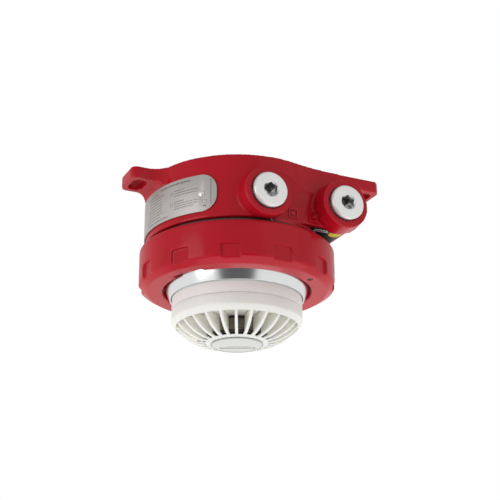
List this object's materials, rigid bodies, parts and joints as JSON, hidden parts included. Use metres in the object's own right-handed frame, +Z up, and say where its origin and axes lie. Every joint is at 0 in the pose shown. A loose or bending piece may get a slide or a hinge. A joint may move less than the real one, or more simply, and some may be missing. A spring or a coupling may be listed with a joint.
{
  "type": "heat detector",
  "caption": "Flameproof ceiling heat detector: cast enclosure with mounting lugs and plugged cable entries, threaded cover ring, metal carrier and finned plug-in sensing head.",
  "frame": {"origin": "centre of the flat mounting face, on the axis of the round body", "axes": "+Z points up into the ceiling along the body's axis, -Y is the way the two cable entries face"},
  "size_m": [0.1848, 0.1732, 0.1253],
  "materials": {
    "red_paint": "glossy stoved enamel over cast aluminium",
    "black_rubber": "smooth black seal rubber",
    "black_steel": "blackened steel",
    "nickel": "bright nickel plate",
    "brushed_plate": "brushed stainless plate with etched marks",
    "black_tag": "black foil tag",
    "aluminium": "turned aluminium",
    "white_plastic": "warm white moulded plastic",
    "brass": "bright brass",
    "brown_screen": "fine woven steel screen",
    "black_plastic": "matt black moulding",
    "green_board": "solder-masked board",
    "grey_plastic": "grey terminal moulding",
    "clear_plastic": "clear light pipe",
    "bead_glass": "glass-coated bead",
    "white_label": "printed disc"
  },
  "bodies": {
    "housing": {"base_contact_1": "brass", "base_contact_2": "brass", "base_contact_3": "brass", "base_contact_4": "brass", "base_screw_1": "nickel", "base_screw_2": "nickel", "base_terminal_screw_1": "nickel", "base_terminal_screw_2": "nickel", "base_terminal_screw_3": "nickel", "base_terminal_screw_4": "nickel", "board_screw_1": "nickel", "board_screw_2": "nickel", "board_screw_3": "nickel", "board_standoff_1": "nickel", "board_standoff_2": "nickel", "board_standoff_3": "nickel", "carrier_ring": "aluminium", "carrier_screw_1": "black_steel", "carrier_screw_2": "black_steel", "carrier_screw_3": "black_steel", "detector_base": "white_plastic", "enclosure_body": "red_paint", "inner_earth_screw": "brass", "inner_earth_washer": "nickel", "nameplate": "brushed_plate", "nameplate_rivet_left": "nickel", "nameplate_rivet_right": "nickel", "outer_earth_screw": "brass", "outer_earth_washer": "nickel", "terminal_block_1": "grey_plastic", "terminal_block_2": "grey_plastic", "terminal_board": "green_board", "underside_tag": "black_tag"},
    "cover_travel": {"cover_seal_ring": "black_rubber"},
    "cover": {"cover_ring": "red_paint"},
    "cover_lock": {"cover_set_screw": "black_steel"},
    "left_plug_travel": {"entry_plug_washer_left": "black_rubber"},
    "left_plug": {"entry_plug_left": "nickel"},
    "right_plug_travel": {"entry_plug_washer_right": "black_rubber"},
    "right_plug": {"entry_plug_right": "nickel"},
    "head_travel": {"head_collar": "white_plastic"},
    "head": {"head_board": "green_board", "head_contact_stud_1": "brass", "head_contact_stud_2": "brass", "head_contact_stud_3": "brass", "head_contact_stud_4": "brass", "head_inner_plate": "white_plastic", "head_label": "white_label", "head_shell": "white_plastic", "insect_screen": "brown_screen", "led_light_pipe": "clear_plastic", "sensing_chamber": "black_plastic", "thermistor_1": "bead_glass", "thermistor_2": "bead_glass"}
  },
  "joints": [
    {"name": "cover_travel", "type": "slide", "parent": "housing", "child": "cover_travel", "axis": [0, 0, -1], "range_m": [0, 0.0161]},
    {"name": "cover_turn", "type": "hinge", "parent": "cover_travel", "child": "cover", "pos_m": [0, 0, -0.07], "axis": [0, 0, -1], "range_deg": [0, 2880]},
    {"name": "set_screw_turn", "type": "hinge", "parent": "cover", "child": "cover_lock", "pos_m": [0.03568, -0.05095, -0.082], "axis": [0, 0, -1], "range_deg": [0, 720]},
    {"name": "left_plug_travel", "type": "slide", "parent": "housing", "child": "left_plug_travel", "axis": [0, -1, 0], "range_m": [0, 0.0128]},
    {"name": "left_plug_turn", "type": "hinge", "parent": "left_plug_travel", "child": "left_plug", "pos_m": [-0.0105, -0.078, -0.0317], "axis": [0, -1, 0], "range_deg": [0, 3060]},
    {"name": "right_plug_travel", "type": "slide", "parent": "housing", "child": "right_plug_travel", "axis": [0, -1, 0], "range_m": [0, 0.0128]},
    {"name": "right_plug_turn", "type": "hinge", "parent": "right_plug_travel", "child": "right_plug", "pos_m": [0.053, -0.078, -0.0305], "axis": [0, -1, 0], "range_deg": [0, 3060]},
    {"name": "head_travel", "type": "slide", "parent": "housing", "child": "head_travel", "axis": [0, 0, -1], "range_m": [0, 0.03]},
    {"name": "head_turn", "type": "hinge", "parent": "head_travel", "child": "head", "pos_m": [0, 0, -0.1], "axis": [0, 0, -1], "range_deg": [0, 20]}
  ],
  "couplings": [
    {"joint": "cover_travel", "follows": "cover_turn", "m_per_rad": 0.00031831},
    {"joint": "left_plug_travel", "follows": "left_plug_turn", "m_per_rad": 0.00023873},
    {"joint": "right_plug_travel", "follows": "right_plug_turn", "m_per_rad": 0.00023873}
  ]
}
